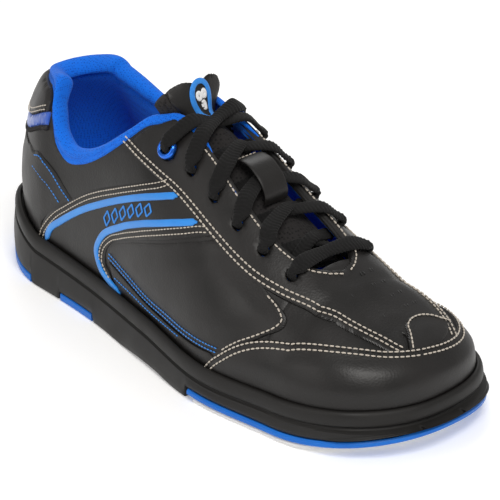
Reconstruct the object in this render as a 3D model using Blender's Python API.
"""Right bowling shoe: a laced low-cut leather upper on a rubber cup sole with a slide pad.

X points to the medial side, the toe points to -Y and +Z is up. All sizes below are millimetres.
Every place on the upper is (t, v): t runs round the last, 0 at the heel back, 3 at the toe tip,
lateral side positive (a medial t is negative, or 6 - u past the toe); v runs from the feather line
of the sole (0) to the crown line over the instep (1). Heights are measured outwards from the last.
"""
import bpy
import bmesh
import numpy as np
from functools import lru_cache
from math import cos, pi, sin
from mathutils import Vector
from mathutils.geometry import delaunay_2d_cdt

MM = 0.001

# Last: the spine runs from the heel centre to the toe centre, s counts from the heel
HEEL_S, TOE_S = 46.0, 236.0
HEEL_REACH, TOE_REACH = 44.5, 50.5
KNOTS = (0, 0.5, 1, 1.25, 1.5, 1.75, 2, 2.5, 3)
REACH_LATERAL = (HEEL_REACH, 36, 34.5, 37, 44.5, 50, 48, 50.5, TOE_REACH)
REACH_MEDIAL = (HEEL_REACH, 41, 37, 31, 34, 43, 47, 54, TOE_REACH)
FEATHER = (29, 31, 24, 21.5, 21, 17.5, 18.5, 21, 21)
FLARE = (1, 1, 1, 1, 1, 2, 2.5, 1.5, 0.5)
WALL = (0.60, 0.60, 0.62, 0.62, 0.65, 0.55, 0.54, 0.56, 0.70)
FULL_LATERAL = (0.70, 0.65, 0.70, 0.60, 0.45, 0.48, 0.56, 0.55, 0.60)
FULL_MEDIAL = (0.70, 0.72, 0.70, 0.62, 0.56, 0.60, 0.58, 0.52, 0.60)
CROWN_S = (46, 93.5, 141, 188.5, 236)
CROWN = (116, 126, 117, 90, 62)
AXIS_S = (0, 60, 141, 200, 236, 300)
AXIS_X = (0, 0, -1, -2, 0.5, 3)

# Grid that every layer of the upper shares, so that stacked layers stay parallel
U_LINES = (0, 0.2, 0.4, 0.6, 0.8, 1, 1.1, 1.2, 1.3, 1.4, 1.5, 1.6, 1.7, 1.8, 1.9, 2,
           2.15, 2.3, 2.45, 2.6, 2.75, 2.88, 3)
V_LINES = (0, 0.12, 0.24, 0.36, 0.48, 0.58, 0.68, 0.78, 0.88, 1)

# Layers of the upper, inner and outer height over the last
LINING = (-5.6, -4.6)
STIFFENER = (-4.2, -3.4)
BASE = (-3.0, -1.7)
OVERLAY = (-1.3, 0.0)
TRIM = (0.4, 1.0)
SEAM = 0.006            # half gap between neighbouring panels, in t or v

# Sole
SOLE_OVER = 5.5         # sole past the upper
BUMPER_OVER = 8.0       # the same at the toe tip
HEEL_SPRING, TOE_SPRING, ARCH = 5.0, 7.5, 1.2
GAP = 0.3               # clearance between touching pieces
RIM = 2.6               # cup rim over the feather line
WALL_IN = 8.0           # cup wall, inside the edge of the last
CUP_FLOOR = 8.2
PAD_THICK, PLATE_THICK, BAR_THICK = 2.1, 3.2, 3.9
PLATE_FROM = 1.72
BAR_REAR_TO, BAR_FRONT = 0.93, (1.11, 1.25)
SHANK = (1.17, 1.60)
SHANK_HALF = 9.0

# Throat, eyelets and lace
ROWS = 6
ROW_FIRST, ROW_STEP = 1.46, 0.088
LATERAL_V, LATERAL_V_STEP, MEDIAL_V = 0.585, 0.026, 0.645
HOLE, EYELET_HOLE = 3.0, 4.8
LACE_R = 1.3
AGLET_R, AGLET_LONG = 1.6, 20.0

# Tongue: depth of its face under the eyestays, pillow in the throat, rise at its top
TONGUE_DEEP, TONGUE_PILLOW, TONGUE_RISE = -9.6, 1.0, 15.4
TONGUE_THICK = 4.6
TONGUE_HINGE_S, TONGUE_HINGE_Z = 224.0, 58.0

# Top edge of the upper, cut lower under the lateral ankle, both as (u, v)
TOPLINE_FRONT = ((1.31, 0.51), (1.36, 0.605), (1.40, 0.68))
TOPLINE_LATERAL = ((0, 0.61), (0.5, 0.62), (0.75, 0.615), (0.9, 0.58), (1.0, 0.47), (1.045, 0.37),
                   (1.09, 0.325), (1.15, 0.33), (1.22, 0.39), *TOPLINE_FRONT)
TOPLINE_MEDIAL = ((0, 0.61), (0.5, 0.62), (0.75, 0.62), (0.9, 0.59), (1.03, 0.51), (1.10, 0.445),
                  (1.17, 0.41), (1.24, 0.43), *TOPLINE_FRONT)

# Seam lines of the lateral side, which the medial side mirrors
THROAT = ((1.43, 0.73), (1.55, 0.765), (1.70, 0.775), (1.85, 0.79), (1.915, 0.84), (1.945, 0.92))
EYESTAY = ((1.31, 0.505), (1.40, 0.46), (1.51, 0.455), (1.65, 0.50), (1.81, 0.52), (1.89, 0.55),
           (1.97, 0.62), (2.2, 0.69), (2.45, 0.69), (2.7, 0.60), (2.835, 0.505))
MUDGUARD = ((1.76, 0), (1.80, 0.08), (1.84, 0.16), (1.91, 0.27), (2.07, 0.42), (2.30, 0.48),
            (2.6, 0.49), (3, 0.45))
MIDFOOT_TOP = ((0.995, 0), (1.03, 0.075), (1.08, 0.15), (1.16, 0.225), (1.25, 0.29), (1.42, 0.385),
               (1.50, 0.45))
MIDFOOT_LOW = ((1.41, 0), (1.345, 0.035), (1.32, 0.07), (1.33, 0.11), (1.38, 0.155), (1.47, 0.205),
               (1.58, 0.31), (1.67, 0.49))
STRIPE_TOP = ((1.05, 0.045), (1.08, 0.10), (1.16, 0.18), (1.25, 0.24), (1.42, 0.33), (1.53, 0.43))
STRIPE_LOW = ((1.305, 0.045), (1.275, 0.065), (1.262, 0.095), (1.275, 0.135), (1.33, 0.18),
              (1.40, 0.225), (1.53, 0.315), (1.625, 0.455))
SADDLE_FRONT = ((1.775, 0.125), (1.84, 0.18), (1.89, 0.28), (1.925, 0.36), (1.95, 0.45),
                (1.94, 0.50), (1.90, 0.53))
FOXING = ((1.37, 0.085), (1.46, 0.075), (1.63, 0.085), (1.775, 0.125))
STRIP_RISE, TAB_TOP = 0.11, 0.60
COUNTER = ((0.85, 0.318), (0.95, 0.30), (1.05, 0.24), (1.11, 0.185))
TOE_TIP = ((2.86, 0.505), (2.865, 0.58), (2.95, 0.65), (3.2, 0.66), (3.42, 0.60), (3.47, 0.50))

# Collar roll: (u, half thickness, half height)
ROLL = ((0, 4.6, 1.6), (0.7, 4.6, 1.7), (0.9, 4.8, 2.6), (1.0, 4.8, 3.4), (1.1, 4.4, 3.0), (1.2, 3.0, 2.4),
        (1.31, 2.2, 2.0), (1.41, 2.0, 1.7))
ROLL_CLEAR = 2.1        # from the cut edge of the quarter up to the roll

# Lace route (t, v, height) from the lateral tail to the medial tail: over and under the eyestays,
# down the holes and across the throat, with one bar across the lowest row
LACE_ROUTE = (
    (1.07, 0.235, -10), (1.14, 0.245, -10), (1.21, 0.275, -10), (1.28, 0.33, -10), (1.345, 0.40, -10),
    (1.41, 0.475, -9.5), (1.46, 0.54, -8.2), (1.46, 0.585, -7), (1.46, 0.585, 3.2),
    (1.466, 0.65, 3.6), (1.484, 0.80, 1.7),
    (1.504, 1, -6.2), (-1.524, 0.80, 1.7), (-1.540, 0.70, 2.3), (-1.548, 0.645, 2),
    (-1.548, 0.645, -7), (-1.556, 0.70, -7.5), (-1.572, 0.80, -7.3),
    (1.592, 1, -3.5), (1.616, 0.80, 1.7), (1.630, 0.69, 2.3), (1.636, 0.637, 2), (1.636, 0.637, -7),
    (1.644, 0.70, -7.5), (1.660, 0.80, -7.3), (1.680, 1, -6.2), (-1.704, 0.80, 1.7),
    (-1.718, 0.70, 2.3), (-1.724, 0.645, 2), (-1.724, 0.645, -7), (-1.732, 0.70, -7.5),
    (-1.748, 0.80, -7.3), (1.768, 1, -3.5), (1.790, 0.80, 1.7), (1.806, 0.74, 2.3),
    (1.812, 0.689, 2), (1.812, 0.689, -7), (1.820, 0.74, -7.5), (1.836, 0.80, -7.3),
    (1.856, 1, -6.2), (-1.876, 0.80, -7.3), (-1.892, 0.70, -7.5), (-1.90, 0.645, -7),
    (-1.90, 0.645, 2), (-1.90, 0.70, 2.6), (-1.90, 0.82, 1.7), (1.90, 1, -1.5), (1.90, 0.84, 1.7),
    (1.90, 0.77, 2.2), (1.90, 0.715, 2), (1.90, 0.715, -7), (1.892, 0.75, -7.5),
    (1.876, 0.80, -7.3), (1.856, 1, -3.5), (-1.836, 0.80, -7.3), (-1.820, 0.70, -7.5),
    (-1.812, 0.645, -7), (-1.812, 0.645, 2), (-1.806, 0.70, 2.3), (-1.790, 0.80, 1.7),
    (1.768, 1, -6.2), (1.748, 0.80, -7.3), (1.732, 0.72, -7.5), (1.724, 0.663, -7),
    (1.724, 0.663, 2), (1.718, 0.72, 2.3), (1.702, 0.80, 1.7), (1.680, 1, -3.5),
    (-1.660, 0.80, -7.3), (-1.644, 0.70, -7.5), (-1.636, 0.645, -7), (-1.636, 0.645, 2),
    (-1.630, 0.70, 2.3), (-1.614, 0.80, 1.7), (1.592, 1, -6.2), (1.572, 0.80, -7.3),
    (1.556, 0.67, -7.5), (1.548, 0.611, -7), (1.548, 0.611, 2), (1.540, 0.67, 2.3),
    (1.524, 0.80, 1.7), (1.504, 1, -3.5), (-1.484, 0.80, 1.7), (-1.466, 0.71, 3.6),
    (-1.46, 0.645, 3.2), (-1.46, 0.645, -7), (-1.46, 0.59, -8.2), (-1.41, 0.49, -9.5),
    (-1.345, 0.41, -10), (-1.28, 0.335, -10), (-1.21, 0.275, -10), (-1.14, 0.245, -10),
    (-1.07, 0.235, -10))

# Linear base colour, roughness, metallic
BLACK_LEATHER = ("black_leather", (0.016, 0.015, 0.015), 0.42, 0.0)
BLACK_RUBBER = ("black_rubber", (0.018, 0.017, 0.017), 0.55, 0.0)
BLUE_RUBBER = ("blue_rubber", (0.012, 0.14, 0.60), 0.45, 0.0)
BLUE_TRIM = ("blue_trim", (0.03, 0.24, 0.80), 0.40, 0.0)
BLUE_LINING = ("blue_lining", (0.01, 0.15, 0.62), 0.85, 0.0)
WHITE_SUEDE = ("white_suede", (0.80, 0.80, 0.78), 0.90, 0.0)
BLACK_FABRIC = ("black_fabric", (0.012, 0.012, 0.013), 0.90, 0.0)
FOAM = ("foam", (0.30, 0.32, 0.34), 0.95, 0.0)
BOARD = ("fibre_board", (0.45, 0.36, 0.24), 0.85, 0.0)
STEEL = ("steel", (0.60, 0.60, 0.62), 0.35, 1.0)
BLUE_METAL = ("blue_metal", (0.01, 0.12, 0.65), 0.25, 1.0)
AGLET_PLASTIC = ("aglet_plastic", (0.03, 0.03, 0.03), 0.30, 0.0)


def clear_scene():
    for item in list(bpy.data.objects):
        bpy.data.objects.remove(item, do_unlink=True)


def material(spec):
    name, colour, roughness, metallic = spec
    found = bpy.data.materials.get(name)
    if found:
        return found
    made = bpy.data.materials.new(name)
    made.use_nodes = True
    shader = made.node_tree.nodes["Principled BSDF"]
    shader.inputs["Base Color"].default_value = (*colour, 1)
    shader.inputs["Roughness"].default_value = roughness
    shader.inputs["Metallic"].default_value = metallic
    return made


def add_object(name, bm, spec, origin=Vector((0, 0, 0))):
    """Close a bmesh of millimetre points into an object whose origin is given in metres."""
    bmesh.ops.recalc_face_normals(bm, faces=bm.faces)
    if bm.calc_volume(signed=True) < 0:
        bmesh.ops.reverse_faces(bm, faces=bm.faces)
    for vert in bm.verts:
        vert.co = vert.co * MM - origin
    mesh = bpy.data.meshes.new(name)
    bm.to_mesh(mesh)
    bm.free()
    mesh.materials.append(material(spec))
    item = bpy.data.objects.new(name, mesh)
    item.location = origin
    bpy.context.collection.objects.link(item)
    return item


def smooth(knots, values, at, flat_ends=True):
    """Cubic curve through the values, with level ends unless flat_ends is off."""
    k, val = np.asarray(knots, float), np.asarray(values, float)
    at = np.clip(at, k[0], k[-1])
    rise = np.diff(val) / np.diff(k)
    tangent = np.zeros_like(val)
    tangent[1:-1] = (rise[:-1] * (k[2:] - k[1:-1]) + rise[1:] * (k[1:-1] - k[:-2])) / (k[2:] - k[:-2])
    if not flat_ends:
        tangent[0], tangent[-1] = rise[0], rise[-1]
    i = int(np.clip(np.searchsorted(k, at, side="right") - 1, 0, len(k) - 2))
    span = k[i + 1] - k[i]
    x = (at - k[i]) / span
    ends = val[i] * (1 + 2 * x) * (1 - x) ** 2 + val[i + 1] * x * x * (3 - 2 * x)
    return ends + tangent[i] * span * x * (1 - x) ** 2 + tangent[i + 1] * span * x * x * (x - 1)


def step(x):
    """0 below 0, 1 above 1, smooth between."""
    x = min(max(x, 0.0), 1.0)
    return x * x * (3 - 2 * x)


def fold(t):
    """Side (-1 lateral, 1 medial) and u of the place t."""
    if t > 3:
        return 1, 6 - t
    return (-1, t) if t >= 0 else (1, -t)


def station(t):
    """Spine place s, direction (dx, ds) and u of the column at t."""
    side, u = fold(t)
    s = HEEL_S + min(max(u - 1, 0), 1) * (TOE_S - HEEL_S)
    turn = (u if u < 1 else 3 - u if u > 2 else 1) * pi / 2
    along = -cos(turn) if u < 1 else cos(turn) if u > 2 else 0
    return side, u, s, side * sin(turn), along


def reach(side, u):
    return smooth(KNOTS, REACH_LATERAL if side < 0 else REACH_MEDIAL, u)


def axis_x(s):
    return smooth(AXIS_S, AXIS_X, s)


def place(t, d, z):
    """Point at distance d from the spine, at height z, in the column at t."""
    side, u, s, dx, ds = station(t)
    along = s + ds * d
    x = axis_x(along if u > 2 else s) + dx * d
    return Vector((x - X_MID, S_MID - along, z))


def last_point(t, v):
    """Point on the last: a cubic from the feather line up and over to the crown."""
    side, u, s, dx, ds = station(t)
    wide, low = reach(side, u), smooth(KNOTS, FEATHER, u)
    crown = smooth(CROWN_S, CROWN, s, flat_ends=False)
    full = smooth(KNOTS, FULL_LATERAL if side < 0 else FULL_MEDIAL, u)
    fall = (CROWN[-1] - CROWN[-2]) / (CROWN_S[-1] - CROWN_S[-2]) if u > 2 else 0
    rise = (CROWN[1] - CROWN[0]) / (CROWN_S[1] - CROWN_S[0]) if u < 1 else 0
    tilt = (fall + rise) * ds
    ds_points = (wide, wide + smooth(KNOTS, FLARE, u), full * wide, 0)
    z_points = (low, low + smooth(KNOTS, WALL, u) * (crown - low), crown + tilt * full * wide, crown)
    weights = ((1 - v) ** 3, 3 * v * (1 - v) ** 2, 3 * v * v * (1 - v), v ** 3)
    d = sum(w * p for w, p in zip(weights, ds_points))
    z = sum(w * p for w, p in zip(weights, z_points))
    return place(t, d, z)


def last_normal(t, v):
    small = 0.002
    v = min(v, 0.995)
    along = last_point(t + small, v) - last_point(t - small, v)
    up = last_point(t, min(v + small, 1)) - last_point(t, max(v - small, 0))
    normal = along.cross(up).normalized()
    if v > 0.99:
        normal.x = 0
        normal.normalize()
    return normal


@lru_cache(maxsize=None)
def frame_at(t, v):
    """Point on the last and the outward normal there."""
    point, out = last_point(t, v), last_normal(t, v)
    if out.dot(point - Vector((0, 0.6 * point.y, 40))) < 0:
        out.negate()
    return point, out


def lifted(t, v, height):
    """Point at a height over the last, measured along its normal."""
    point, out = frame_at(t, v)
    return point + out * height


def curve_through(points, per_span=3):
    """Catmull-Rom points through a list of 2-D or 3-D points."""
    p = [np.asarray(q, float) for q in points]
    p = [2 * p[0] - p[1]] + p + [2 * p[-1] - p[-2]]
    made = []
    for a, b, c, d in zip(p, p[1:], p[2:], p[3:]):
        for k in range(per_span):
            x = k / per_span
            made.append(0.5 * (2 * b + (c - a) * x + (2 * a - 5 * b + 4 * c - d) * x * x
                               + (3 * b - a - 3 * c + d) * x ** 3))
    made.append(p[-2])
    return [tuple(float(n) for n in q) for q in made]


def mirrored(outline):
    """The same outline on the medial side."""
    return [(-t, v) for t, v in outline]


def moved(points, dt=0.0, dv=0.0):
    return [(t + dt, v + dv) for t, v in points]


T_LINES = sorted({-u for u in U_LINES} | set(U_LINES) | {6 - u for u in U_LINES})


def to_grid(t, v):
    return (float(np.interp(t, T_LINES, range(len(T_LINES)))),
            float(np.interp(v, V_LINES, range(len(V_LINES)))))


def inside(point, loops):
    """Even-odd test of a grid point against closed loops."""
    x, y = point
    odd = False
    for loop in loops:
        for (ax, ay), (bx, by) in zip(loop, loop[1:] + loop[:1]):
            if (ay > y) != (by > y) and x < (bx - ax) * (y - ay) / (by - ay) + ax:
                odd = not odd
    return odd


def split_on_grid(loops):
    """Triangles of the region inside the loops, cut along the shared grid and its diagonals."""
    xs = [p[0] for loop in loops for p in loop]
    ys = [p[1] for loop in loops for p in loop]
    i_range = range(int(min(xs)) - 1, int(max(xs)) + 3)
    j_range = range(max(int(min(ys)) - 1, -1), int(max(ys)) + 2)
    corners = {(i, j): n for n, (i, j) in enumerate((i, j) for i in i_range for j in j_range)}
    verts = [Vector(c) for c in corners]
    edges = [(n, corners[(i + a, j + b)]) for (i, j), n in corners.items()
             for a, b in ((1, 0), (0, 1), (-1, 1)) if (i + a, j + b) in corners]
    for loop in loops:
        first = len(verts)
        verts += [Vector(p) for p in loop]
        edges += [(first + k, first + (k + 1) % len(loop)) for k in range(len(loop))]
    found, _, faces, *_ = delaunay_2d_cdt(verts, edges, [], 0, 0.03)
    kept = []
    for face in faces:
        middle = sum((found[k] for k in face), Vector((0, 0))) / 3
        if inside(middle, loops):
            kept.append(tuple(face))
    return found, kept


def on_facets(x, y, height):
    """Grid point placed on the flat facet it falls in, at a height over the last."""
    i = min(max(int(x), 0), len(T_LINES) - 2)
    j = min(max(int(y), 0), len(V_LINES) - 2)
    a, b = x - i, y - j
    corner = lambda m, n: lifted(T_LINES[i + m], V_LINES[j + n], height(T_LINES[i + m], V_LINES[j + n]))
    if a + b <= 1:
        return corner(0, 0) * (1 - a - b) + corner(1, 0) * a + corner(0, 1) * b
    return corner(1, 1) * (a + b - 1) + corner(0, 1) * (1 - a) + corner(1, 0) * (1 - b)


def panel(name, outlines, layer, spec, holes=(), origin=Vector((0, 0, 0))):
    """Piece of sheet on the last: outlines and holes are (t, v) loops, the layer two heights."""
    bm = bmesh.new()
    heights = [h if callable(h) else (lambda t, v, h=h: h) for h in layer]
    for outline in outlines:
        loops = [[to_grid(*p) for p in loop] for loop in [outline, *holes]]
        grid, faces = split_on_grid(loops)
        used = sorted({k for face in faces for k in face})
        skins = [{k: bm.verts.new(on_facets(*grid[k], h)) for k in used} for h in heights]
        edges = {}
        for face in faces:
            for skin in skins:
                bm.faces.new([skin[k] for k in face])
            for a, b in zip(face, face[1:] + face[:1]):
                key = (min(a, b), max(a, b))
                edges[key] = edges.get(key, 0) + 1
        top = len(V_LINES) - 1 - 1e-4
        for (a, b), count in edges.items():
            if count == 1 and not (grid[a].y > top and grid[b].y > top):
                bm.faces.new([skins[0][a], skins[0][b], skins[1][b], skins[1][a]])
    bmesh.ops.remove_doubles(bm, verts=bm.verts, dist=0.03)
    bmesh.ops.dissolve_degenerate(bm, edges=bm.edges, dist=0.002)
    bmesh.ops.triangulate(bm, faces=bm.faces)
    return add_object(name, bm, spec, origin)


def spread(t, v):
    """Millimetres on the last per unit of t and of v."""
    small = 0.01
    low = max(v - small, 0)
    per_t = (last_point(t + small, v) - last_point(t - small, v)).length / (2 * small)
    per_v = (last_point(t, v + small) - last_point(t, low)).length / (v + small - low)
    return per_t, per_v


def round_hole(t, v, radius, sides=8):
    """Loop in (t, v) that is a circle of this radius on the last."""
    per_t, per_v = spread(t, v)
    turns = [2 * pi * (k + 0.5) / sides for k in range(sides)]
    return [(t + cos(a) * radius / per_t, v + sin(a) * radius / per_v) for a in turns]


def ribbon(points, half):
    """Closed outline of a strip of even width along a (t, v) curve."""
    line = curve_through(points, 2)
    left, right = [], []
    for k, (t, v) in enumerate(line):
        before, after = line[max(k - 1, 0)], line[min(k + 1, len(line) - 1)]
        per_t, per_v = spread(t, v)
        dt, dv = (after[0] - before[0]) * per_t, (after[1] - before[1]) * per_v
        size = (dt * dt + dv * dv) ** 0.5
        left.append((t - dv / size * half / per_t, v + dt / size * half / per_v))
        right.append((t + dv / size * half / per_t, v - dt / size * half / per_v))
    return left + right[::-1]


def eyelet(side, row):
    """Place (t, v) of an eyelet hole, row 0 at the top."""
    u = ROW_FIRST + ROW_STEP * row
    return (u, LATERAL_V + LATERAL_V_STEP * row) if side < 0 else (-u, MEDIAL_V)


def eyelet_holes(side):
    return [round_hole(*eyelet(side, row), EYELET_HOLE if row == 0 else HOLE) for row in range(ROWS)]


def past_toe(loops):
    """Medial loops written past the toe, for panels that wrap round it."""
    return [[(6 + t, v) for t, v in loop] for loop in loops]


# ---------------------------------------------------------------- sole

def spring(u):
    """Height of the sole's edge over the ground."""
    heel = HEEL_SPRING * (1 - step(u / 0.95))
    toe = TOE_SPRING * step((u - 1.95) / 1.05)
    arch = ARCH * step((u - 1.38) / 0.12) * (1 - step((u - 1.55) / 0.12))
    return heel + toe + arch


def sole_over(u):
    return SOLE_OVER + (BUMPER_OVER - SOLE_OVER) * step((u - 2.3) / 0.7)


def ground(t, d):
    """Underside of the whole shoe, straight from the spine to the sole's edge."""
    side, u = fold(t)
    middle, edge = spring(min(max(u, 1), 2)), spring(u)
    return middle + (edge - middle) * d / (reach(side, u) + sole_over(u))


def bed(t, d):
    """Level of the feather line, straight from the spine to the edge of the last."""
    side, u = fold(t)
    middle, edge = (smooth(KNOTS, FEATHER, w) for w in (min(max(u, 1), 2), u))
    return middle + (edge - middle) * d / reach(side, u)


def loft(name, columns, profile, spec, origin=Vector((0, 0, 0))):
    """Solid from one closed profile per column, each running spine to edge and back to the spine."""
    bm = bmesh.new()
    for side in (1, -1):
        rings = []
        for u in columns:
            t = side * u
            rings.append([bm.verts.new(place(t, d, z)) for d, z in profile(t)])
        for a, b in zip(rings, rings[1:]):
            for k in range(len(a) - 1):
                bm.faces.new([a[k], a[k + 1], b[k + 1], b[k]])
        for ring, u in ((rings[0], columns[0]), (rings[-1], columns[-1])):
            if 0 < u < 3:
                bm.faces.new(ring)
    bmesh.ops.remove_doubles(bm, verts=bm.verts, dist=0.01)
    bmesh.ops.dissolve_degenerate(bm, edges=bm.edges, dist=0.002)
    bmesh.ops.triangulate(bm, faces=bm.faces)
    return add_object(name, bm, spec, origin)


def between(columns, low, high):
    return [low] + [u for u in columns if low < u < high] + [high]


SOLE_COLUMNS = (0, 0.2, 0.4, 0.6, 0.8, 0.94, 0.96, 1.0, 1.1, 1.105, 1.255, 1.26, 1.38, 1.5, 1.62,
                1.705, 1.715, 1.8, 1.9, 2.0, 2.15, 2.3, 2.45, 2.6, 2.75, 2.88, 3)


def sole_cut(u):
    """How far the black sole stands over the ground, where plates lie under it."""
    if u > 1.71:
        return PAD_THICK + PLATE_THICK + 2 * GAP
    in_bar = u < 0.95 or 1.102 < u < 1.257
    return BAR_THICK + GAP if in_bar else 0.0


def outsole_profile(t):
    side, u = fold(t)
    wide, over, cut = reach(side, u), sole_over(u), sole_cut(u)
    top = bed(t, wide)
    floor = lambda d: ground(t, d) + CUP_FLOOR
    low = lambda d: ground(t, d) + cut
    ledge = lambda d: bed(t, d) - GAP
    in_wall, out_wall = wide - WALL_IN, wide + over
    bulge = low(out_wall) + 0.4 * (top - 6.5 - low(out_wall))
    return [(0, floor(0)), (in_wall, floor(in_wall)), (in_wall, ledge(in_wall)),
            (wide + 0.6, ledge(wide + 0.6)),
            (wide + 0.9, top + RIM), (wide + 3.2, top + RIM - 0.3), (wide + 4.3, top - 4.5),
            (wide + 3.5, top - 5.4), (wide + 4.8, top - 6.3), (out_wall, bulge),
            (out_wall - 0.9, low(out_wall - 0.9) + 0.6), (out_wall - 2.4, low(out_wall - 2.4)), (0, low(0))]


def slab_profile(edge, low, high):
    """Profile of a flat layer: edge(t) is its half width, low and high its faces."""
    def profile(t):
        d = edge(t)
        return [(0, high(t, 0)), (d, high(t, d)), (d, low(t, d)), (0, low(t, 0))]
    return profile


def edge_of(inset):
    return lambda t: reach(*fold(t)) + sole_over(fold(t)[1]) - inset


def inner_edge(inset):
    return lambda t: reach(*fold(t)) - inset


def over_ground(height):
    return lambda t, d: ground(t, d) + height


def over_bed(height):
    return lambda t, d: bed(t, d) + height


def outsole():
    loft("outsole", SOLE_COLUMNS, outsole_profile, BLACK_RUBBER)


def heel_bars():
    """Blue inlays that cross the heel under the black sole and show at its edge."""
    rear = between(SOLE_COLUMNS, 0, BAR_REAR_TO)
    loft("heel_inlay_rear", rear, slab_profile(edge_of(1.2), over_ground(0), over_ground(BAR_THICK)),
         BLUE_RUBBER)
    front = between(SOLE_COLUMNS, *BAR_FRONT)
    loft("heel_inlay_front", front, slab_profile(edge_of(1.2), over_ground(0), over_ground(BAR_THICK)),
         BLUE_RUBBER)


def forefoot_plate():
    columns = between(SOLE_COLUMNS, PLATE_FROM, 3)
    low = PAD_THICK + GAP
    loft("forefoot_plate", columns,
         slab_profile(edge_of(0.6), over_ground(low), over_ground(low + PLATE_THICK)), BLUE_RUBBER)


def slide_pad():
    def edge(t):
        u = fold(t)[1]
        return reach(*fold(t)) + sole_over(u) - 1.6 - 9 * step((u - 2.15) / 0.5)
    columns = between(SOLE_COLUMNS, PLATE_FROM + 0.02, 3)
    loft("slide_pad", columns, slab_profile(edge, over_ground(0), over_ground(PAD_THICK)), WHITE_SUEDE)


def midsole_wedge():
    """Foam filler in the cup, with a pocket in its top for the shank."""
    columns = sorted({*SOLE_COLUMNS, SHANK[0] - 0.02, SHANK[0] - 0.01, SHANK[1] + 0.01, SHANK[1] + 0.02})

    def profile(t):
        side, u = fold(t)
        wide = reach(side, u) - WALL_IN - 0.4
        top = lambda d: bed(t, d) - GAP
        pocket = 2.2 if SHANK[0] - 0.015 < u < SHANK[1] + 0.015 else 0
        near, far = SHANK_HALF + 0.4, SHANK_HALF + 0.8
        return [(0, top(0) - pocket), (near, top(near) - pocket), (far, top(far)), (wide, top(wide)),
                (wide, ground(t, wide) + CUP_FLOOR + GAP), (0, ground(t, 0) + CUP_FLOOR + GAP)]
    loft("midsole_wedge", columns, profile, FOAM)


def shank():
    columns = between(SOLE_COLUMNS, *SHANK)
    loft("shank", columns, slab_profile(lambda t: SHANK_HALF, over_bed(-2.1), over_bed(-0.7)), STEEL)


def insole_board():
    loft("insole_board", SOLE_COLUMNS, slab_profile(inner_edge(6.4), over_bed(0.05), over_bed(1.5)), BOARD)


def sockliner():
    """Loose footbed, hinged where its toe end stays tucked under the vamp."""
    pivot = place(3, SOCK_REACH, bed(3, SOCK_REACH) + 1.9) * MM
    columns = [u for u in SOLE_COLUMNS if u not in (0.96, 1.105, 1.255, 1.715)]
    loft("sockliner", columns, slab_profile(inner_edge(7.2), over_bed(1.9), over_bed(5.2)), BLUE_LINING,
         pivot)


# ---------------------------------------------------------------- upper

def rear_outline(joint, topline):
    """Half of the upper from the heel back to a joint line, under the topline and the throat."""
    top = curve_through(topline + THROAT[:1], 2)
    start = (SEAM, top[0][1])
    top = [start] + [p for p in top if p[0] > 3 * SEAM]
    throat = [p for p in curve_through(THROAT, 2) if THROAT[0][0] + 0.02 < p[0] < joint - 0.02]
    throat.append((joint, float(np.interp(joint, [p[0] for p in THROAT], [p[1] for p in THROAT]))))
    return [(SEAM, 0)] + top + throat + [(joint, 0)]


def front_outline(joint):
    """The upper in front of a joint line, round the toe and closed over the crown."""
    return [(joint, 0), (3, 0), (6 - joint, 0), (6 - joint, 1), (joint, 1)]


def both_sides(name, outline, layer, spec, holes=lambda side: ()):
    panel(name + "_lateral", [outline], layer, spec, holes(-1))
    panel(name + "_medial", [mirrored(outline)], layer, spec, holes(1))


def quarters(name, layer, spec):
    """One layer of the rear upper, a panel on each side."""
    lateral = rear_outline(1.93, TOPLINE_LATERAL)
    medial = mirrored(rear_outline(1.93, TOPLINE_MEDIAL))
    panel(name + "_lateral", [lateral], layer, spec, eyelet_holes(-1))
    panel(name + "_medial", [medial], layer, spec, eyelet_holes(1))


def linings():
    quarters("lining", LINING, BLUE_LINING)
    panel("vamp_lining", [front_outline(1.95)], LINING, BLACK_FABRIC)


def heel_counter():
    outline = [(-1.22, 0.02), (1.22, 0.02), (1.2, 0.14), (1.05, 0.24), (0.8, 0.29), (-0.8, 0.29),
               (-1.05, 0.24), (-1.2, 0.14)]
    panel("heel_counter", [outline], STIFFENER, BOARD)


def collar_foam():
    """Foam band under the topline, all round the ankle."""
    def half(topline):
        line = [p for p in topline if p[0] < 1.2]
        return moved(curve_through(line, 1), dv=-0.02), moved(line, dv=-0.085)
    (top, low), (top_medial, low_medial) = half(TOPLINE_LATERAL), half(TOPLINE_MEDIAL)
    panel("collar_foam", [mirrored(top_medial[::-1]) + top[1:] + low[:0:-1] + mirrored(low_medial)],
          STIFFENER, FOAM)


def toe_puff():
    outline = [(2.3, 0.03), (3.7, 0.03), (3.65, 0.3), (3.45, 0.5), (3.2, 0.56), (2.8, 0.56), (2.55, 0.5),
               (2.35, 0.3)]
    panel("toe_puff", [outline], STIFFENER, BOARD)


def eyestay_stays():
    """Woven stays behind the eyelet rows."""
    outline = [(1.40, 0.535), (1.48, 0.505), (1.7, 0.55), (1.915, 0.60), (1.915, 0.79), (1.85, 0.77),
               (1.55, 0.745), (1.435, 0.71)]
    both_sides("eyelet_stay", outline, STIFFENER, BLACK_FABRIC, eyelet_holes)


def base_panels():
    quarters("quarter", BASE, BLACK_LEATHER)
    panel("vamp", [front_outline(1.95)], BASE, BLACK_LEATHER)


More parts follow.
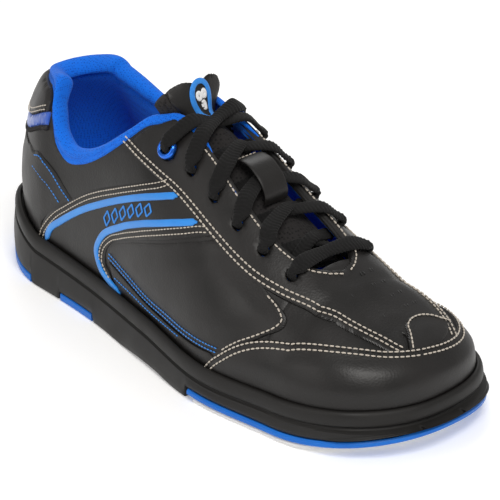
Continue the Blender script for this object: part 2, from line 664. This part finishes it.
def eyestay_vamp():
    """One overlay: both eyestays and the centre of the vamp down to the toe."""
    outer = curve_through(EYESTAY, 2)
    collar = [(1.34, 0.535), (1.37, 0.595), (1.405, 0.665)]
    throat = curve_through(THROAT, 2) + [(1.95, 1.0)]
    lateral = [(outer[0][0] + 0.012, outer[0][1] + 0.005)] + outer[1:]
    medial_outer = [(6 - t, v) for t, v in curve_through(EYESTAY[:-2], 2)]
    tip = [(2.85, 0.60), (2.94, 0.67), (3.2, 0.68), (3.44, 0.625)]
    inner_medial = [(6 - t, v) for t, v in throat]
    collar_medial = [(6 - t, v) for t, v in collar]
    medial_start = (6 - outer[0][0] - 0.012, outer[0][1] + 0.005)
    loop = (lateral + tip + medial_outer[1:][::-1] + [medial_start] + collar_medial
            + inner_medial + throat[::-1] + collar[::-1])
    holes = eyelet_holes(-1) + past_toe(eyelet_holes(1))
    panel("eyestay_vamp", [loop], OVERLAY, BLACK_LEATHER, holes)


def toe_cap():
    top = moved(curve_through(MUDGUARD, 2), dv=-0.004)[:-1]
    right = [(6 - t, v) for t, v in top][::-1]
    panel("toe_cap", [[(top[0][0], 0)] + top[1:] + [(3, 0.446)] + right[:-1] + [(6 - top[0][0], 0), (3, 0)]],
          OVERLAY, BLACK_LEATHER)


def toe_tip():
    top = curve_through(TOE_TIP, 2)
    low = [(3.44, 0.492), (3.2, 0.472), (3, 0.462), (2.88, 0.47)]
    panel("toe_tip", [top + low], OVERLAY, BLACK_LEATHER)


def midfoot_panels():
    top = moved(curve_through(MIDFOOT_TOP, 2), dv=-0.003)
    top[0] = (MIDFOOT_TOP[0][0] + 0.01, 0)
    low = moved(curve_through(MIDFOOT_LOW, 2), dv=0.003)[::-1]
    low[-1] = (MIDFOOT_LOW[0][0] - 0.01, 0)
    front = [(1.51, 0.442), (1.58, 0.458), (1.655, 0.482)]
    both_sides("midfoot_panel", top + front + low[1:], OVERLAY, BLACK_LEATHER)


def saddle_panels():
    rear = [(t + 0.012, v - 0.006) for t, v in curve_through(MIDFOOT_LOW[3:], 2)]
    top = [(1.74, 0.492), (1.81, 0.502), (1.87, 0.522)]
    front = curve_through(SADDLE_FRONT, 2)[::-1]
    low = moved(curve_through(FOXING, 1), dv=0.006)[::-1]
    both_sides("saddle_panel", rear + top + front[:-1] + low, OVERLAY, BLACK_LEATHER)


def foxing_panels():
    top = moved(curve_through(FOXING, 1), dv=-0.005)
    rear = [(1.43, 0), (1.372, 0.03)]
    front = [(1.782, 0.085), (1.745, 0)]
    both_sides("lower_side_panel", rear + top + front, OVERLAY, BLACK_LEATHER)


def counter_overlay():
    side = curve_through(COUNTER, 2)
    low = [(1.07, 0.155), (1.02, 0.08), (0.98, 0)]
    half = side + low
    panel("heel_overlay", [mirrored(half[::-1]) + half], OVERLAY, BLACK_LEATHER)


def heel_strips():
    """Padded tab, blue band and piping stacked up the back of the heel, rising to the sides."""
    strips = (("heel_tab", 0.435, 0.60, 0.86, BLACK_FABRIC), ("heel_band", 0.355, 0.425, 0.96, BLUE_TRIM),
              ("heel_piping", 0.325, 0.347, 0.97, BLACK_RUBBER))
    for name, low, high, end, spec in strips:
        line = [(u, step((u - 0.35) / 0.8)) for u in (0, 0.4, 0.6, end)]
        low_edge = [(u, low + STRIP_RISE * up) for u, up in line]
        high_edge = [(u, min(high + STRIP_RISE * up, TAB_TOP)) for u, up in line]
        half = low_edge[1:] + high_edge[::-1]
        panel(name, [mirrored(half[::-1]) + low_edge[:1] + half], OVERLAY, spec)


def stripes():
    both_sides("upper_stripe", ribbon(STRIPE_TOP, 1.5), TRIM, BLUE_TRIM)
    both_sides("lower_stripe", ribbon(STRIPE_LOW, 1.5), TRIM, BLUE_TRIM)


def collar_roll():
    """Padded blue roll along the topline, fat at the ankle and thin at the eyestays."""
    sides = 8
    us = [u for u in U_LINES if u < 1.35] + [0.9, 0.95, 1.03, 1.15, 1.25, 1.36, 1.41]
    ts = sorted({-u for u in us} | set(us))
    knots = [k for k, _, _ in ROLL]
    bm = bmesh.new()
    rings = []
    for t in ts:
        u = abs(t)
        thick = smooth(knots, [a for _, a, _ in ROLL], u)
        tall = smooth(knots, [b for _, _, b in ROLL], u)
        topline = TOPLINE_LATERAL if t > 0 else TOPLINE_MEDIAL
        edge = smooth([p[0] for p in topline], [p[1] for p in topline], u, flat_ends=False)
        foot = lifted(t, edge, -thick)
        out = (lifted(t, edge, 1) - lifted(t, edge, 0)).normalized()
        up = (lifted(t, edge + 0.02, 0) - lifted(t, edge - 0.02, 0)).normalized()
        middle = foot + up * (tall + ROLL_CLEAR)
        turns = [2 * pi * k / sides for k in range(sides)]
        rings.append([bm.verts.new(middle + out * cos(a) * thick + up * sin(a) * tall) for a in turns])
    for a, b in zip(rings, rings[1:]):
        for k in range(sides):
            bm.faces.new([a[k], a[(k + 1) % sides], b[(k + 1) % sides], b[k]])
    bm.faces.new(rings[0])
    bm.faces.new(rings[-1])
    bmesh.ops.triangulate(bm, faces=bm.faces)
    add_object("collar_roll", bm, BLUE_LINING)


# ---------------------------------------------------------------- tongue

def tongue_face(t, v):
    """Height of the tongue's outer face: deep under the eyestays, a pillow in the throat."""
    u = fold(t)[1]
    pillow = TONGUE_PILLOW * step((v - 0.83) / 0.15)
    rise = TONGUE_RISE * step((1.46 - u) / 0.08) * step((v - 0.72) / 0.16)
    return TONGUE_DEEP + pillow + rise


def tongue_outlines(inset=0.0):
    half = [(1.905 - inset, 1.0), (1.385 + inset, 1.0), (1.376 + inset, 0.88), (1.366 + inset, 0.78),
            (1.378 + inset, 0.70 + inset), (1.44 + inset, 0.60 + inset), (1.52, 0.58 + inset),
            (1.70, 0.61 + inset), (1.905 - inset, 0.70)]
    return [half, [(6 - t, v) for t, v in half]]


def tongue():
    hinge = Vector((0, S_MID - TONGUE_HINGE_S, TONGUE_HINGE_Z)) * MM
    low = -TONGUE_THICK
    layers = (("tongue", (low, 0.0), BLACK_FABRIC, tongue_outlines()),
              ("tongue_lining", (low - 1.2, low - 0.4), BLUE_LINING, tongue_outlines(0.01)))
    for name, faces, spec, outlines in layers:
        heights = [lambda t, v, h=h: tongue_face(t, v) + h for h in faces]
        panel(name, outlines, heights, spec, origin=hinge)
    patch = [(1.40, 1.0), (1.40, 0.89), (1.46, 0.86), (1.475, 0.90), (1.475, 1.0)]
    heights = [lambda t, v, h=h: tongue_face(t, v) + h for h in (0.4, 1.2)]
    panel("tongue_patch", [patch, [(6 - t, v) for t, v in patch]], heights, BLACK_LEATHER, origin=hinge)
    lace_keeper(hinge)


def lace_keeper(hinge):
    """Strap sewn to the tongue at both ends, with the lace crossing under it."""
    half_wide, thick = 7.0, 1.2
    line = ((1.628, 0.5), (1.634, 6.4), (1.655, 9.0), (1.68, 9.6), (1.705, 9.0), (1.726, 6.4), (1.732, 0.5))
    bm = bmesh.new()
    rings = []
    for u, height in line:
        foot = lifted(u, 1, tongue_face(u, 1) + height)
        up = (lifted(u, 1, 1) - lifted(u, 1, 0)).normalized()
        wide = Vector((half_wide, 0, 0))
        rings.append([bm.verts.new(q) for q in (foot - wide, foot + wide, foot + wide + up * thick,
                                                foot - wide + up * thick)])
    for a, b in zip(rings, rings[1:]):
        for k in range(4):
            bm.faces.new([a[k], a[(k + 1) % 4], b[(k + 1) % 4], b[k]])
    bm.faces.new(rings[0])
    bm.faces.new(rings[-1])
    bmesh.ops.triangulate(bm, faces=bm.faces)
    add_object("lace_keeper", bm, BLACK_LEATHER, hinge)


# ---------------------------------------------------------------- lace and eyelets

def metal_eyelets():
    """Two flanged metal eyelets in the top row."""
    section = ((2.5, 1.4), (3.3, 1.7), (5.2, 1.1), (5.5, 0.4), (2.9, 0.4), (2.9, -6.0), (2.5, -6.0))
    sides = 12
    for side, name in ((-1, "top_eyelet_lateral"), (1, "top_eyelet_medial")):
        t, v = eyelet(side, 0)
        centre = lifted(t, v, 0)
        out = (lifted(t, v, 1) - centre).normalized()
        across = out.orthogonal().normalized()
        other = out.cross(across)
        bm = bmesh.new()
        rings = []
        for k in range(sides):
            a = 2 * pi * k / sides
            spoke = across * cos(a) + other * sin(a)
            rings.append([bm.verts.new(centre + spoke * r + out * h) for r, h in section])
        for a, b in zip(rings, rings[1:] + rings[:1]):
            for k in range(len(section)):
                n = (k + 1) % len(section)
                bm.faces.new([a[k], a[n], b[n], b[k]])
        bmesh.ops.triangulate(bm, faces=bm.faces)
        add_object(name, bm, BLUE_METAL)


def tube(name, points, radius, spec):
    """Round cord as a curve with a bevel and filled ends."""
    line = bpy.data.curves.new(name, "CURVE")
    line.dimensions = "3D"
    line.bevel_depth = radius * MM
    line.bevel_resolution = 2
    line.use_fill_caps = True
    spline = line.splines.new("POLY")
    spline.points.add(len(points) - 1)
    for slot, p in zip(spline.points, points):
        slot.co = (*(Vector(p) * MM), 1)
    line.materials.append(material(spec))
    item = bpy.data.objects.new(name, line)
    bpy.context.collection.objects.link(item)
    return item


def lace():
    points = [lifted(t, v, h) for t, v, h in LACE_ROUTE]
    tube("lace", points, LACE_R, BLACK_FABRIC)
    ends = (("aglet_lateral", points[0], points[1]), ("aglet_medial", points[-1], points[-2]))
    for name, end, back in ends:
        along = (end - back).normalized()
        start = end + along * GAP
        tube(name, [start, start + along * AGLET_LONG], AGLET_R, AGLET_PLASTIC)


# Middle of the sole's outline, which is the part's origin
S_MID, X_MID = 0.0, 0.0
EDGE = [place(t, reach(*fold(t)) + sole_over(fold(t)[1]), 0) for t in np.linspace(-3, 3, 241)]
X_MID = (min(p.x for p in EDGE) + max(p.x for p in EDGE)) / 2
S_MID = -(min(p.y for p in EDGE) + max(p.y for p in EDGE)) / 2
SOCK_REACH = TOE_REACH - 7.2


def build():
    clear_scene()
    outsole()
    heel_bars()
    forefoot_plate()
    slide_pad()
    midsole_wedge()
    shank()
    insole_board()
    sockliner()
    linings()
    heel_counter()
    collar_foam()
    toe_puff()
    eyestay_stays()
    base_panels()
    eyestay_vamp()
    toe_cap()
    toe_tip()
    midfoot_panels()
    saddle_panels()
    foxing_panels()
    counter_overlay()
    heel_strips()
    stripes()
    collar_roll()
    tongue()
    metal_eyelets()
    lace()


build()
